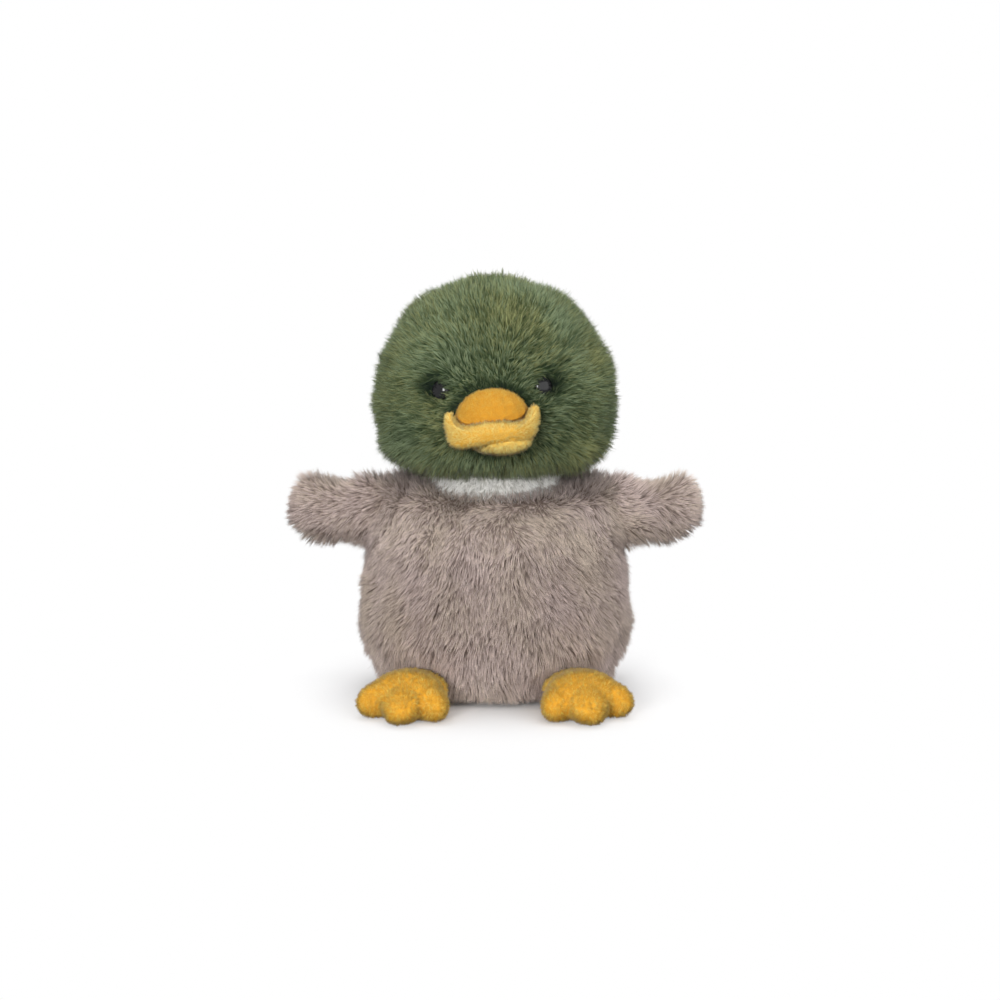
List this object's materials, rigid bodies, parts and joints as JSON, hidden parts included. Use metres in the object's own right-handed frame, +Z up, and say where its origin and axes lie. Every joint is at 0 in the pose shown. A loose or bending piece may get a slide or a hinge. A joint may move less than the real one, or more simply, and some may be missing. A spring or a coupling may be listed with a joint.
{
  "type": "plush duck",
  "caption": "Sitting plush duck with stuffed body, banded neck, round pile head, padded bill, glossy eyes, soft wings, three-toed feet and tail.",
  "frame": {"origin": "middle of the base panel's underside, on the surface that the duck sits on", "axes": "+Z up, -Y the way that the duck faces, +X towards its own left wing"},
  "size_m": [0.176, 0.1462, 0.176],
  "materials": {
    "head_plush": "long pile, dark at the root and lighter at the tip",
    "body_plush": "long pile, combed down",
    "collar_plush": "short white pile",
    "bill_plush": "sheared orange plush",
    "foot_plush": "short golden pile",
    "eye_gloss": "polished black",
    "washer_plastic": "moulded",
    "fibrefill": "loose polyester fibre",
    "pellet_cloth": "thin woven cloth over pellets"
  },
  "bodies": {
    "body": {"body_cover": "body_plush", "base_panel": "body_plush", "body_stuffing": "fibrefill", "pellet_bag": "pellet_cloth", "tail_cover": "body_plush", "tail_stuffing": "fibrefill"},
    "neck": {"neck_collar": "collar_plush", "neck_stuffing": "fibrefill"},
    "head": {"head_cover": "head_plush", "head_stuffing": "fibrefill", "bill_crown": "bill_plush", "bill_lip": "foot_plush", "lower_bill": "foot_plush", "eye_left": "eye_gloss", "eye_right": "eye_gloss", "eye_washer_left": "washer_plastic", "eye_washer_right": "washer_plastic"},
    "wing_left": {"wing_left_cover": "body_plush", "wing_left_stuffing": "fibrefill"},
    "wing_right": {"wing_right_cover": "body_plush", "wing_right_stuffing": "fibrefill"},
    "foot_left": {"foot_left_cover": "foot_plush", "foot_left_sole": "foot_plush", "foot_left_stuffing": "fibrefill"},
    "foot_right": {"foot_right_cover": "foot_plush", "foot_right_sole": "foot_plush", "foot_right_stuffing": "fibrefill"}
  },
  "joints": [
    {"name": "head_turn", "type": "hinge", "parent": "body", "child": "neck", "pos_m": [0, 0, 0.09], "axis": [0, 0, 1], "range_deg": [-20, 20], "stiffness_Nm_per_rad": 0.3},
    {"name": "head_nod", "type": "hinge", "parent": "neck", "child": "head", "pos_m": [0, 0, 0.09], "axis": [1, 0, 0], "range_deg": [-10, 10], "stiffness_Nm_per_rad": 0.3},
    {"name": "wing_left_flap", "type": "hinge", "parent": "body", "child": "wing_left", "pos_m": [0.05302, 0, 0.075], "axis": [0, -1, 0], "range_deg": [-20, 35], "stiffness_Nm_per_rad": 0.02},
    {"name": "wing_right_flap", "type": "hinge", "parent": "body", "child": "wing_right", "pos_m": [-0.05302, 0, 0.075], "axis": [0, 1, 0], "range_deg": [-20, 35], "stiffness_Nm_per_rad": 0.02},
    {"name": "foot_left_lift", "type": "hinge", "parent": "body", "child": "foot_left", "pos_m": [0.033, -0.04234, 0.009], "axis": [-0.9848, -0.1736, 0], "range_deg": [-3, 28], "stiffness_Nm_per_rad": 0.02},
    {"name": "foot_right_lift", "type": "hinge", "parent": "body", "child": "foot_right", "pos_m": [-0.033, -0.04234, 0.009], "axis": [-0.9848, 0.1736, 0], "range_deg": [-3, 28], "stiffness_Nm_per_rad": 0.02}
  ]
}
